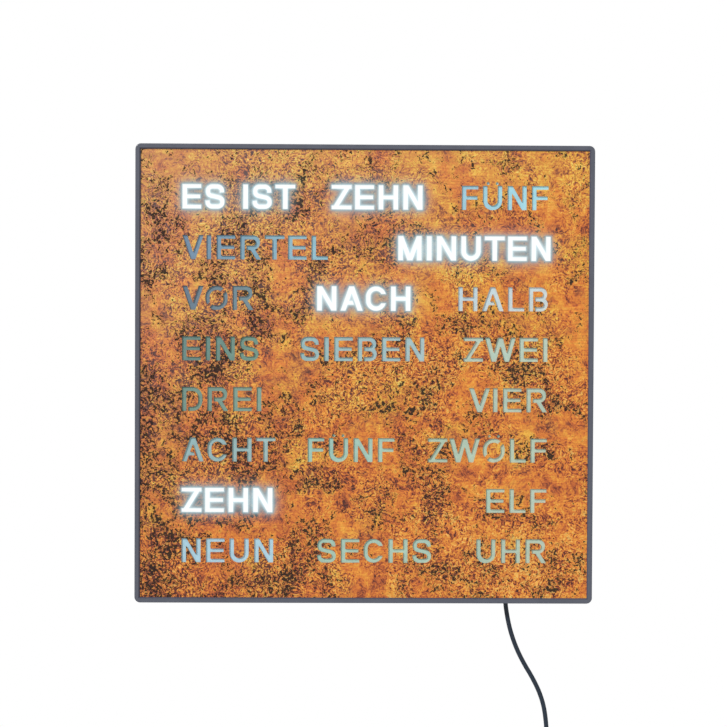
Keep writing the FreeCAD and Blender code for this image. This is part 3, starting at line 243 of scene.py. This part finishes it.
def cord_points():
    """The points that the cord's middle line follows, from the plug's boot to the supply."""
    start = coil_point(0) - coil_way(0) * 2 * CORD_RADIUS
    end = coil_point(COIL_TURNS) + coil_way(COIL_TURNS) * 2 * CORD_RADIUS
    run = (end.z - SUPPLY_TOP.z) / 3
    return [
        Vector(CORD_EXIT),
        *(Vector(point) for point in CORD_ROUTE),
        start - coil_way(0) * CORD_LEAD,
        start,
        *(coil_point(step / COIL_STEPS) for step in range(COIL_TURNS * COIL_STEPS + 1)),
        end,
        end + coil_way(COIL_TURNS) * run,
        SUPPLY_TOP + Vector((0, 0, run)),
        SUPPLY_TOP,
    ]


def add_cord():
    route = cord_points()
    data = bpy.data.curves.new("power_cord", "CURVE")
    data.dimensions = "3D"
    data.bevel_depth = 1  # times each point's radius
    data.bevel_resolution = 5
    data.resolution_u = 6
    data.use_fill_caps = True
    spline = data.splines.new("NURBS")
    spline.points.add(len(route) - 1)
    for point, place in zip(spline.points, route):
        point.co = (*place, 1)
        point.radius = CORD_RADIUS
    spline.order_u = 3
    spline.use_endpoint_u = True
    cord = add_object("power_cord", data)
    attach(cord, "clock")
    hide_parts("power_cord_drop", "power_cord_coil", "power_cord_tail")
    return cord


cord = add_cord()


# Material nodes
class Value:
    """One value in a material's node tree. Sums and products of values add nodes."""

    # Sockets of a Mix node that blends colours
    FACTOR, FIRST, SECOND, BLEND = 0, 6, 7, 2

    def __init__(self, tree, socket):
        self.tree = tree
        self.socket = socket

    def math(self, operation, *others):
        item = self.tree.nodes.new("ShaderNodeMath")
        item.operation = operation
        for slot, value in zip(item.inputs, (self, *others)):
            plug(self.tree, slot, value)
        return Value(self.tree, item.outputs[0])

    def __add__(self, other):
        return self.math("ADD", other)

    def __sub__(self, other):
        return self.math("SUBTRACT", other)

    def __mul__(self, other):
        return self.math("MULTIPLY", other)

    def __abs__(self):
        return self.math("ABSOLUTE")

    def ramp(self, low, high, start=0.0, end=1.0):
        """A smooth step from start at low to end at high."""
        item = self.tree.nodes.new("ShaderNodeMapRange")
        item.interpolation_type = "SMOOTHSTEP"
        for slot, value in zip(item.inputs, (self, low, high, start, end)):
            plug(self.tree, slot, value)
        return Value(self.tree, item.outputs[0])

    def mix(self, first, second):
        """A colour that goes from the first to the second as this value goes from 0 to 1."""
        item = self.tree.nodes.new("ShaderNodeMix")
        item.data_type = "RGBA"
        item.clamp_factor = True
        plug(self.tree, item.inputs[self.FACTOR], self)
        plug(self.tree, item.inputs[self.FIRST], first)
        plug(self.tree, item.inputs[self.SECOND], second)
        return Value(self.tree, item.outputs[self.BLEND])


def plug(tree, slot, value):
    """Links a value into a socket, or sets a number or a colour there."""
    if isinstance(value, Value):
        tree.links.new(value.socket, slot)
    elif isinstance(value, tuple):
        slot.default_value = (*value, 1) if len(slot.default_value) == 4 else value
    else:
        slot.default_value = value


class Surface:
    """A material with one shader, whose inputs are set by name."""

    # Outputs of an Attribute node
    COLOUR, NUMBER = 0, 2

    def __init__(self, name, **inputs):
        self.material = bpy.data.materials.new(name)
        self.material.use_nodes = True
        self.tree = self.material.node_tree
        self.shader = next(item for item in self.tree.nodes if item.type == "BSDF_PRINCIPLED")
        self.set(**inputs)
        place = self.tree.nodes.new("ShaderNodeTexCoord")
        self.place = Value(self.tree, place.outputs["Object"])
        split = self.tree.nodes.new("ShaderNodeSeparateXYZ")
        self.tree.links.new(self.place.socket, split.inputs[0])
        self.x, self.y, self.z = (Value(self.tree, slot) for slot in split.outputs)

    def set(self, **inputs):
        for name, value in inputs.items():
            plug(self.tree, self.shader.inputs[name.replace("_", " ")], value)

    def value(self, kind, output=0, **settings):
        """A node of any kind: upper-case settings are its inputs, and the rest its properties."""
        item = self.tree.nodes.new("ShaderNode" + kind)
        for name, value in settings.items():
            if name[0].isupper():
                plug(self.tree, item.inputs[name.replace("_", " ")], value)
            else:
                setattr(item, name, value)
        return Value(self.tree, item.outputs[output])

    def vector_math(self, operation, *vectors):
        made = self.value("VectorMath", operation=operation)
        for slot, vector in zip(made.socket.node.inputs, vectors):
            plug(self.tree, slot, vector)
        return made

    def scaled(self, vector, scale):
        return self.value("VectorMath", operation="SCALE", Vector=vector, Scale=scale)

    def joined(self, x, y, z):
        return self.value("CombineXYZ", X=x, Y=y, Z=z)

    def attribute(self, name, output):
        return self.value("Attribute", output=output, attribute_name=name)

    def noise(self, scale, detail=3.0, roughness=0.5, where=None, output=0):
        """A noise with this many features a metre."""
        return self.value("TexNoise", output=output, Scale=scale, Detail=detail,
                          Roughness=roughness, Vector=where or self.place)

    def bump(self, height, strength, distance):
        self.set(Normal=self.value("Bump", Height=height, Strength=strength, Distance=distance))


def plain(name, colour, roughness, metallic=0.0, grain=900.0, spread=0.12, relief=0.08, coat=0.0,
          inner=None):
    """A surface of one colour, with a fine grain in its colour, roughness and relief.

    inner is how far out a darker inner rim of painted shade reaches from the face's middle.
    """
    made = Surface(name, Metallic=metallic, Coat_Weight=coat)
    grains = made.noise(grain, detail=4.0, roughness=0.6)
    cloud = made.noise(grain / 20, detail=2.0)
    tone = (grains * 0.6 + cloud * 0.4).ramp(0.3, 0.7)
    base = linear(colour)
    darker = tuple(part * (1 - spread) for part in base)
    lighter = tuple(min(1, part * (1 + spread)) for part in base)
    shade = tone.mix(darker, lighter)
    # Painted shade: a darker colour on the frame lip's inner bevel, inside the given reach
    if inner:
        edge = 0.0002
        out = abs(made.x).math("MAXIMUM", abs(made.z))
        shade = out.ramp(inner - edge, inner + edge).mix(linear(PAINTED_RIM_SHADE), shade)
    made.set(Base_Color=shade)
    made.set(Roughness=grains.ramp(0.25, 0.75, roughness - 0.06, roughness + 0.06))
    made.bump(grains, relief, 0.0002)
    return made.material


def dress(material, *names):
    for name in names:
        item = nodes[name]
        item.data.materials.clear()
        item.data.materials.append(material)


# Patinated metal of the face
def patina_metal():
    made = Surface("patina", Metallic=0.1)
    bend = made.noise(80.0, detail=2.0, output="Color")
    bent = made.vector_math("MULTIPLY_ADD", bend, (0.014, 0.014, 0.014), made.place)

    # How light the patina is: clouds, mottling and crystals, lighter to the upper right. The upper
    # right corner is calmer, with less grain and soot, and the lower right corner is clear of soot.
    broad = made.noise(11.0, detail=3.0, where=bent)
    middling = made.noise(70.0, detail=4.0, roughness=0.65, where=bent)
    fine = made.noise(300.0, detail=3.0, roughness=0.7, where=bent)
    crystals = made.noise(640.0, detail=1.0, roughness=0.6, where=bent)
    patches = made.noise(19.0, detail=3.0, roughness=0.6, where=bent)
    down = made.z * -1.0
    calm = (made.z + made.x * 0.6).ramp(0.04, 0.26)
    clear = made.x.ramp(-0.14, 0.16) * down.ramp(0.07, 0.17)
    grain = patches.ramp(0.38, 0.62, 0.45, 1.5) * (calm * -0.28 + 1.0)
    level = (broad * 0.4 + middling * 1.7) + (fine * 2.0 + crystals * 1.9 - 1.95) * grain - 0.52
    level = level + made.z * 0.10 + made.x * 0.20 + clear * 0.11
    colour = linear(DARKEST_METAL)
    for start, end, tone in METAL_TONES:
        colour = level.ramp(start, end).mix(colour, linear(tone))

    # Redder low down and to the right, and a cool veil at the top left
    hue = made.noise(26.0, detail=4.0, roughness=0.65)
    redness = (hue * 3.4 + fine * 1.4 - made.z * 1.6 + made.x * 0.6).ramp(2.06, 2.54)
    colour = (redness * 0.7).mix(colour, made.vector_math("MULTIPLY", colour, REDDENING))
    veil = (made.z - made.x * 0.8).ramp(-0.05, 0.42)
    colour = (veil * 0.16).mix(colour, linear(VEIL_TONE))

    # Soot: curls along the level of a bent noise, and spots, both gathered in patches and veins,
    # more of them at the lower left, each patch on a brown stain
    left = (made.x * -1.0).ramp(-0.02, 0.2) * down.ramp(-0.11, 0.02)
    vein = abs(made.noise(15.0, detail=3.0, roughness=0.6, where=bent) - 0.5)
    gather = patches * 0.45 + middling * 0.56 + vein.ramp(0.0, 0.08, 0.13, 0.0)
    gather = gather + left * 0.045 - calm * 0.06 - clear * 0.05 - 0.092
    breaks = made.noise(380.0, detail=2.0)
    curl_line = abs(made.noise(115.0, detail=3.0, roughness=0.68, where=bent) - 0.5)
    curls = (gather.ramp(0.41, 0.58, 0.0, 0.034) - curl_line).ramp(-0.001, 0.005)
    curls = curls * breaks.ramp(0.42, 0.47)
    spots = (fine * 1.3 + gather * 1.1 + breaks * 0.9).ramp(1.79, 1.835)
    dark = curls.math("MAXIMUM", spots)
    stain = (gather * 1.3 + fine).ramp(1.10, 1.36)
    colour = (stain * 0.42).mix(colour, linear(STAIN_TONE))
    colour = (dark * 0.93).mix(colour, linear(SOOT_TONE))

    # Level brushing
    stretched = made.joined(made.x * 35.0, made.y, made.z * 1100.0)
    brush = made.noise(1.0, detail=2.0, where=stretched)
    shade = made.scaled(colour, brush.ramp(0.25, 0.75, 0.9, 1.18))

    # Bluish light that spills over the metal round the lit words and hides it
    spill = made.attribute("spill", made.NUMBER)
    made.set(Base_Color=(spill * 2.3).math("MINIMUM", 0.88).mix(shade, BLACK))
    made.set(Emission_Color=spill.mix(BLACK, SPILL_LIGHT), Emission_Strength=1.0)
    made.set(Roughness=dark * 0.4 + crystals * 0.2 + 0.40)
    made.bump(level * 0.5 - dark * 0.5, 0.25, 0.0003)
    return made.material


# Face plate: the CAD's outlines, with a finer mesh round the lit words that carries their light
def front_outlines():
    """The outlines of the face plate's front in the CAD mesh: points across and up, and edges."""
    shape = bmesh.new()
    shape.from_mesh(nodes["face_plate"].data)
    bmesh.ops.remove_doubles(shape, verts=shape.verts, dist=1e-6)
    front = {
        face for face in shape.faces
        if all(abs(v.co.y - FACE_FRONT) < 1e-5 for v in face.verts)
    }
    rim = [edge for edge in shape.edges if sum(face in front for face in edge.link_faces) == 1]
    corners = {}
    for edge in rim:
        for v in edge.verts:
            corners.setdefault(v.index, len(corners))
    places = np.zeros((len(corners), 2))
    shape.verts.ensure_lookup_table()
    for index, number in corners.items():
        places[number] = shape.verts[index].co.x, shape.verts[index].co.z
    edges = np.array([[corners[v.index] for v in edge.verts] for edge in rim])
    shape.free()
    return places, edges


def row_height(row):
    return TOP_ROW - row * ROW_PITCH


def near_lit(points, reach):
    """Which points lie within reach of a lit word's box."""
    found = np.zeros(len(points), bool)
    for row, words in enumerate(WORDS):
        up = np.abs(points[:, 1] - row_height(row)) - WORD_HALF
        for left, right, _, _, lit in words:
            if lit:
                across = np.maximum(left - points[:, 0], points[:, 0] - right)
                found |= np.maximum(across, up) < reach
    return found


def distance_to(points, starts, ends):
    """The least distance from each point to a set of straight edges, up to a metre."""
    best = np.full(len(points), 1.0)
    for start, end in zip(starts, ends):
        along = end - start
        share = np.clip(((points - start) @ along) / max(along @ along, 1e-18), 0, 1)
        best = np.minimum(best, np.linalg.norm(points - start - share[:, None] * along, axis=1))
    return best


def inside(points, starts, ends):
    """Which points lie inside the edges, by counting the edges that a line to the right crosses.

    With the whole plate's edges that is its metal, and with the letters' edges their openings.
    """
    crossed = np.zeros(len(points), int)
    for start, end in zip(starts, ends):
        low, high = (start, end) if start[1] < end[1] else (end, start)
        if low[1] == high[1]:
            continue
        between = (points[:, 1] >= low[1]) & (points[:, 1] < high[1])
        at = low[0] + (points[:, 1] - low[1]) / (high[1] - low[1]) * (high[0] - low[0])
        crossed += between & (points[:, 0] < at)
    return crossed % 2 == 1


def grid_points():
    """Points over the plate round the lit words, with every other row shifted by half a step."""
    count = int(2 * FACE_HALF / GRID_STEP)
    spread = (np.arange(count) + 0.5) * GRID_STEP - FACE_HALF
    grid = np.stack(np.meshgrid(spread, spread), -1).reshape(-1, 2)
    shift = GRID_STEP / 4
    grid[:, 0] += np.where(np.arange(len(grid)) // count % 2, shift, -shift)
    return grid[near_lit(grid, GRID_REACH)]


def spill_at(points, gap, lamps):
    """How much of the lit words' light each point of the metal has, from 0 to 1.

    The area of the lit openings gives the wide glow, and gap, the distance to their edges, the rim.
    """
    near = near_lit(points, GLOW_END)
    glow = np.zeros(np.count_nonzero(near))
    for lamp in lamps:
        glow += np.exp(-np.linalg.norm(points[near] - lamp, axis=1) / GLOW_REACH)
    glow = glow * (LAMP_EVERY * GRID_STEP ** 2) / (2 * math.pi * GLOW_REACH ** 2)
    spill = np.zeros(len(points))
    spill[near] = RIM_GLOW * np.exp(-gap[near] / RIM_GLOW_REACH) + glow
    return np.minimum(spill, MOST_SPILL)


def plate_polygons(faces, total):
    """The polygons of a plate whose front has these triangles and this many points."""
    sides = dict.fromkeys(pair for a, b, c in faces for pair in ((a, b), (b, c), (c, a)))
    walls = [(a, b, b + total, a + total) for a, b in sides if (b, a) not in sides]
    polygons = [tuple(face) for face in faces]
    polygons += [tuple(reversed([index + total for index in face])) for face in faces]
    polygons += [tuple(reversed(wall)) for wall in walls]
    return polygons


def add_face():
    places, edges = front_outlines()
    starts, ends = places[edges[:, 0]], places[edges[:, 1]]
    of_letters = near_lit((starts + ends) / 2, LETTER_REACH)
    letters = starts[of_letters], ends[of_letters]
    grid = grid_points()
    lamps = grid[near_lit(grid, 0.0)]
    lamps = lamps[inside(lamps, *letters)][::LAMP_EVERY]
    grid = grid[distance_to(grid, *letters) > GRID_STEP * GRID_CLEARANCE]
    points = [Vector(point) for point in np.concatenate([places, grid])]
    flat, _, faces = delaunay_2d_cdt(points, edges.tolist(), [], 0, SAME_POINT)[:3]
    flat = np.array(flat)
    faces = np.array(faces)
    faces = faces[inside(flat[faces].mean(axis=1), starts, ends)]
    spill = spill_at(flat, distance_to(flat, *letters), lamps)
    front = [(x, FACE_FRONT, z) for x, z in flat]
    back = [(x, FACE_BACK, z) for x, z in flat]
    mesh = bpy.data.meshes.new("patina_face")
    mesh.from_pydata(front + back, [], plate_polygons(faces, len(flat)))
    mesh.validate()
    layer = mesh.attributes.new("spill", "FLOAT", "POINT")
    both = np.concatenate([spill, spill * BACK_SPILL])
    layer.data.foreach_set("value", both.astype(np.float32))
    face = add_object("patina_face", mesh)
    shape = bmesh.new()
    shape.from_mesh(mesh)
    bmesh.ops.recalc_face_normals(shape, faces=shape.faces)
    shape.to_mesh(mesh)
    shape.free()
    mesh.materials.append(patina_metal())
    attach(face, "clock")
    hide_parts("face_plate")


add_face()


# Opal sheet: word tints with painted reflection, a faint painted glow, and light behind lit words
def opal():
    made = Surface("opal", Roughness=0.45)
    tint = made.attribute("tint", made.COLOUR)
    lit = made.attribute("lit", made.NUMBER)
    cloud = made.noise(260.0, detail=3.0)
    # Base colour: the word's tint with painted reflection in it, with a faint cloud
    made.set(Base_Color=made.scaled(tint, cloud.ramp(0.3, 0.7, 0.94, 1.06)))
    # A faint painted glow of that colour, which lightens the unlit words in the plate's shade
    glow = made.vector_math("MULTIPLY", tint, PAINTED_TINT_GLOW)
    made.set(Emission_Color=lit.ramp(0.4, 0.6).mix(glow, LAMP_LIGHT), Emission_Strength=1.0)
    made.bump(cloud, 0.05, 0.0002)
    return made.material


def add_diffuser():
    """The sheet, with its front parted at the rows and at the ends of the words."""
    places, polygons, tints_and_reflections, glows = [], [], [], []
    for row, words in enumerate(WORDS):
        stops = [(-FACE_HALF, words[0][2], 0)]
        for left, right, first, last, lit in words:
            stops.append((left - WORD_MARGIN, first, int(lit)))
            stops.append((right + WORD_MARGIN, last, int(lit)))
        stops.append((FACE_HALF, words[-1][3], 0))
        top = FACE_HALF if row == 0 else row_height(row) + ROW_PITCH / 2
        low = -FACE_HALF if row == len(WORDS) - 1 else row_height(row) - ROW_PITCH / 2
        base = len(places)
        for across, colour, lit in stops:
            for height in (low, top):
                places.append((across, FACE_BACK, height))
                # Each stop's colour: the sheet's tint with painted reflection in it
                tints_and_reflections.append((*linear(colour), 1))
                glows.append(lit)
        for index in range(len(stops) - 1):
            first = base + 2 * index
            polygons.append((first, first + 2, first + 3, first + 1))
    corner = len(places)
    for depth in (FACE_BACK, DIFFUSER_BACK):
        for across, height in ((-1, -1), (1, -1), (1, 1), (-1, 1)):
            places.append((across * FACE_HALF, depth, height * FACE_HALF))
            tints_and_reflections.append(UNSEEN_TINT)
            glows.append(0)
    for index in range(4):
        after = (index + 1) % 4
        polygons.append((corner + index, corner + 4 + index, corner + 4 + after, corner + after))
    polygons.append(tuple(range(corner + 4, corner + 8)))
    mesh = bpy.data.meshes.new("opal_sheet")
    mesh.from_pydata(places, [], polygons)
    tint = mesh.attributes.new("tint", "FLOAT_COLOR", "POINT")
    tint.data.foreach_set("color", np.array(tints_and_reflections, np.float32).ravel())
    glow = mesh.attributes.new("lit", "FLOAT", "POINT")
    glow.data.foreach_set("value", np.array(glows, np.float32))
    sheet = add_object("opal_sheet", mesh)
    mesh.materials.append(opal())
    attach(sheet, "clock")
    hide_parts("diffuser_sheet")


add_diffuser()


# Plain materials
cord.data.materials.append(
    plain("cord_sheath", (34, 46, 60), 0.38, grain=1500.0, spread=0.2, coat=0.2))
# The frame's paint, with painted shade on the lip's inner bevel
dress(
    plain("frame_paint_and_painted_shade", (94, 96, 107), 0.42, grain=1400.0, spread=0.10, relief=0.12, coat=0.1,
          inner=SHADED_RIM_OUT),
    "frame")
dress(plain("cover_paint", (62, 63, 67), 0.55, grain=1100.0), "back_cover")
dress(plain("tray_plastic", (38, 39, 42), 0.5), "connector_bay")
dress(
    plain("zinc", (176, 178, 182), 0.3, metallic=0.9),
    "cover_screws", "bay_screws", "keyhole_plates", "board_screws")
dress(plain("grid_black", (28, 28, 29), 0.8), "light_grid")
dress(
    plain("strip_white", (226, 228, 222), 0.45),
    "strip_links", *(f"light_strip_row_{row}" for row in range(1, 9)))
dress(plain("lamp_white", (240, 238, 216), 0.3), "strip_lamps")
dress(
    plain("sheet_white", (214, 214, 210), 0.5),
    "strip_carrier", "strip_connector", *(f"{name}_button_plunger" for name in BUTTONS))
dress(
    plain("block_metal", (170, 172, 174), 0.4, metallic=0.8),
    "mounting_blocks", "clock_crystal", "power_capacitors")
dress(plain("board_green", (34, 92, 56), 0.35, grain=700.0), "controller_board", "adapter_board")
dress(
    plain("chip_black", (34, 34, 36), 0.5),
    "microcontroller", "clock_chip", "voltage_regulator", "coin_cell_holder", "dc_jack_housing",
    "button_switches")
dress(plain("ceramic_brown", (150, 120, 84), 0.5), "ceramic_capacitors")
dress(
    plain("nickel", (196, 196, 194), 0.18, metallic=1.0),
    "coin_cell", "board_standoffs", "dc_jack_contact", "dc_plug_barrel", "adapter_pins")
dress(plain("button_rubber", (74, 75, 80), 0.6), *(f"{name}_button_cap" for name in BUTTONS))
dress(
    plain("plug_rubber", (32, 34, 38), 0.5),
    "dc_plug_grip", "adapter_strain_relief", "strip_cable")
dress(plain("tie_plastic", (30, 30, 32), 0.5), "cord_tie")
dress(
    plain("supply_plastic", (36, 37, 40), 0.48, grain=1600.0, relief=0.15),
    "adapter_base", "adapter_cover")
dress(plain("ferrite", (80, 74, 70), 0.6), "adapter_transformer")


# Light
def add_key():
    data = bpy.data.lights.new("key", "SUN")
    data.energy = KEY_STRENGTH
    data.angle = math.radians(KEY_DEGREES)
    key = add_object("key", data)
    key.rotation_euler = KEY_DIRECTION.to_track_quat("-Z", "Y").to_euler()


def add_surrounding():
    """An even pale surrounding, which the camera itself sees as white."""
    world = bpy.data.worlds.new("surrounding")
    world.use_nodes = True
    bpy.context.scene.world = world
    tree = world.node_tree
    output = next(item for item in tree.nodes if item.type == "OUTPUT_WORLD")
    pale = next(item for item in tree.nodes if item.type == "BACKGROUND")
    pale.inputs["Color"].default_value = SURROUNDING
    pale.inputs["Strength"].default_value = SURROUNDING_STRENGTH
    white = tree.nodes.new("ShaderNodeBackground")
    white.inputs["Color"].default_value = (1, 1, 1, 1)
    white.inputs["Strength"].default_value = 1
    path = tree.nodes.new("ShaderNodeLightPath")
    blend = tree.nodes.new("ShaderNodeMixShader")
    for source, slot in (
        (path.outputs["Is Camera Ray"], blend.inputs[0]),
        (pale.outputs[0], blend.inputs[1]),
        (white.outputs[0], blend.inputs[2]),
        (blend.outputs[0], output.inputs[0]),
    ):
        tree.links.new(source, slot)


add_surrounding()
add_key()
bpy.context.scene.view_settings.view_transform = "Standard"
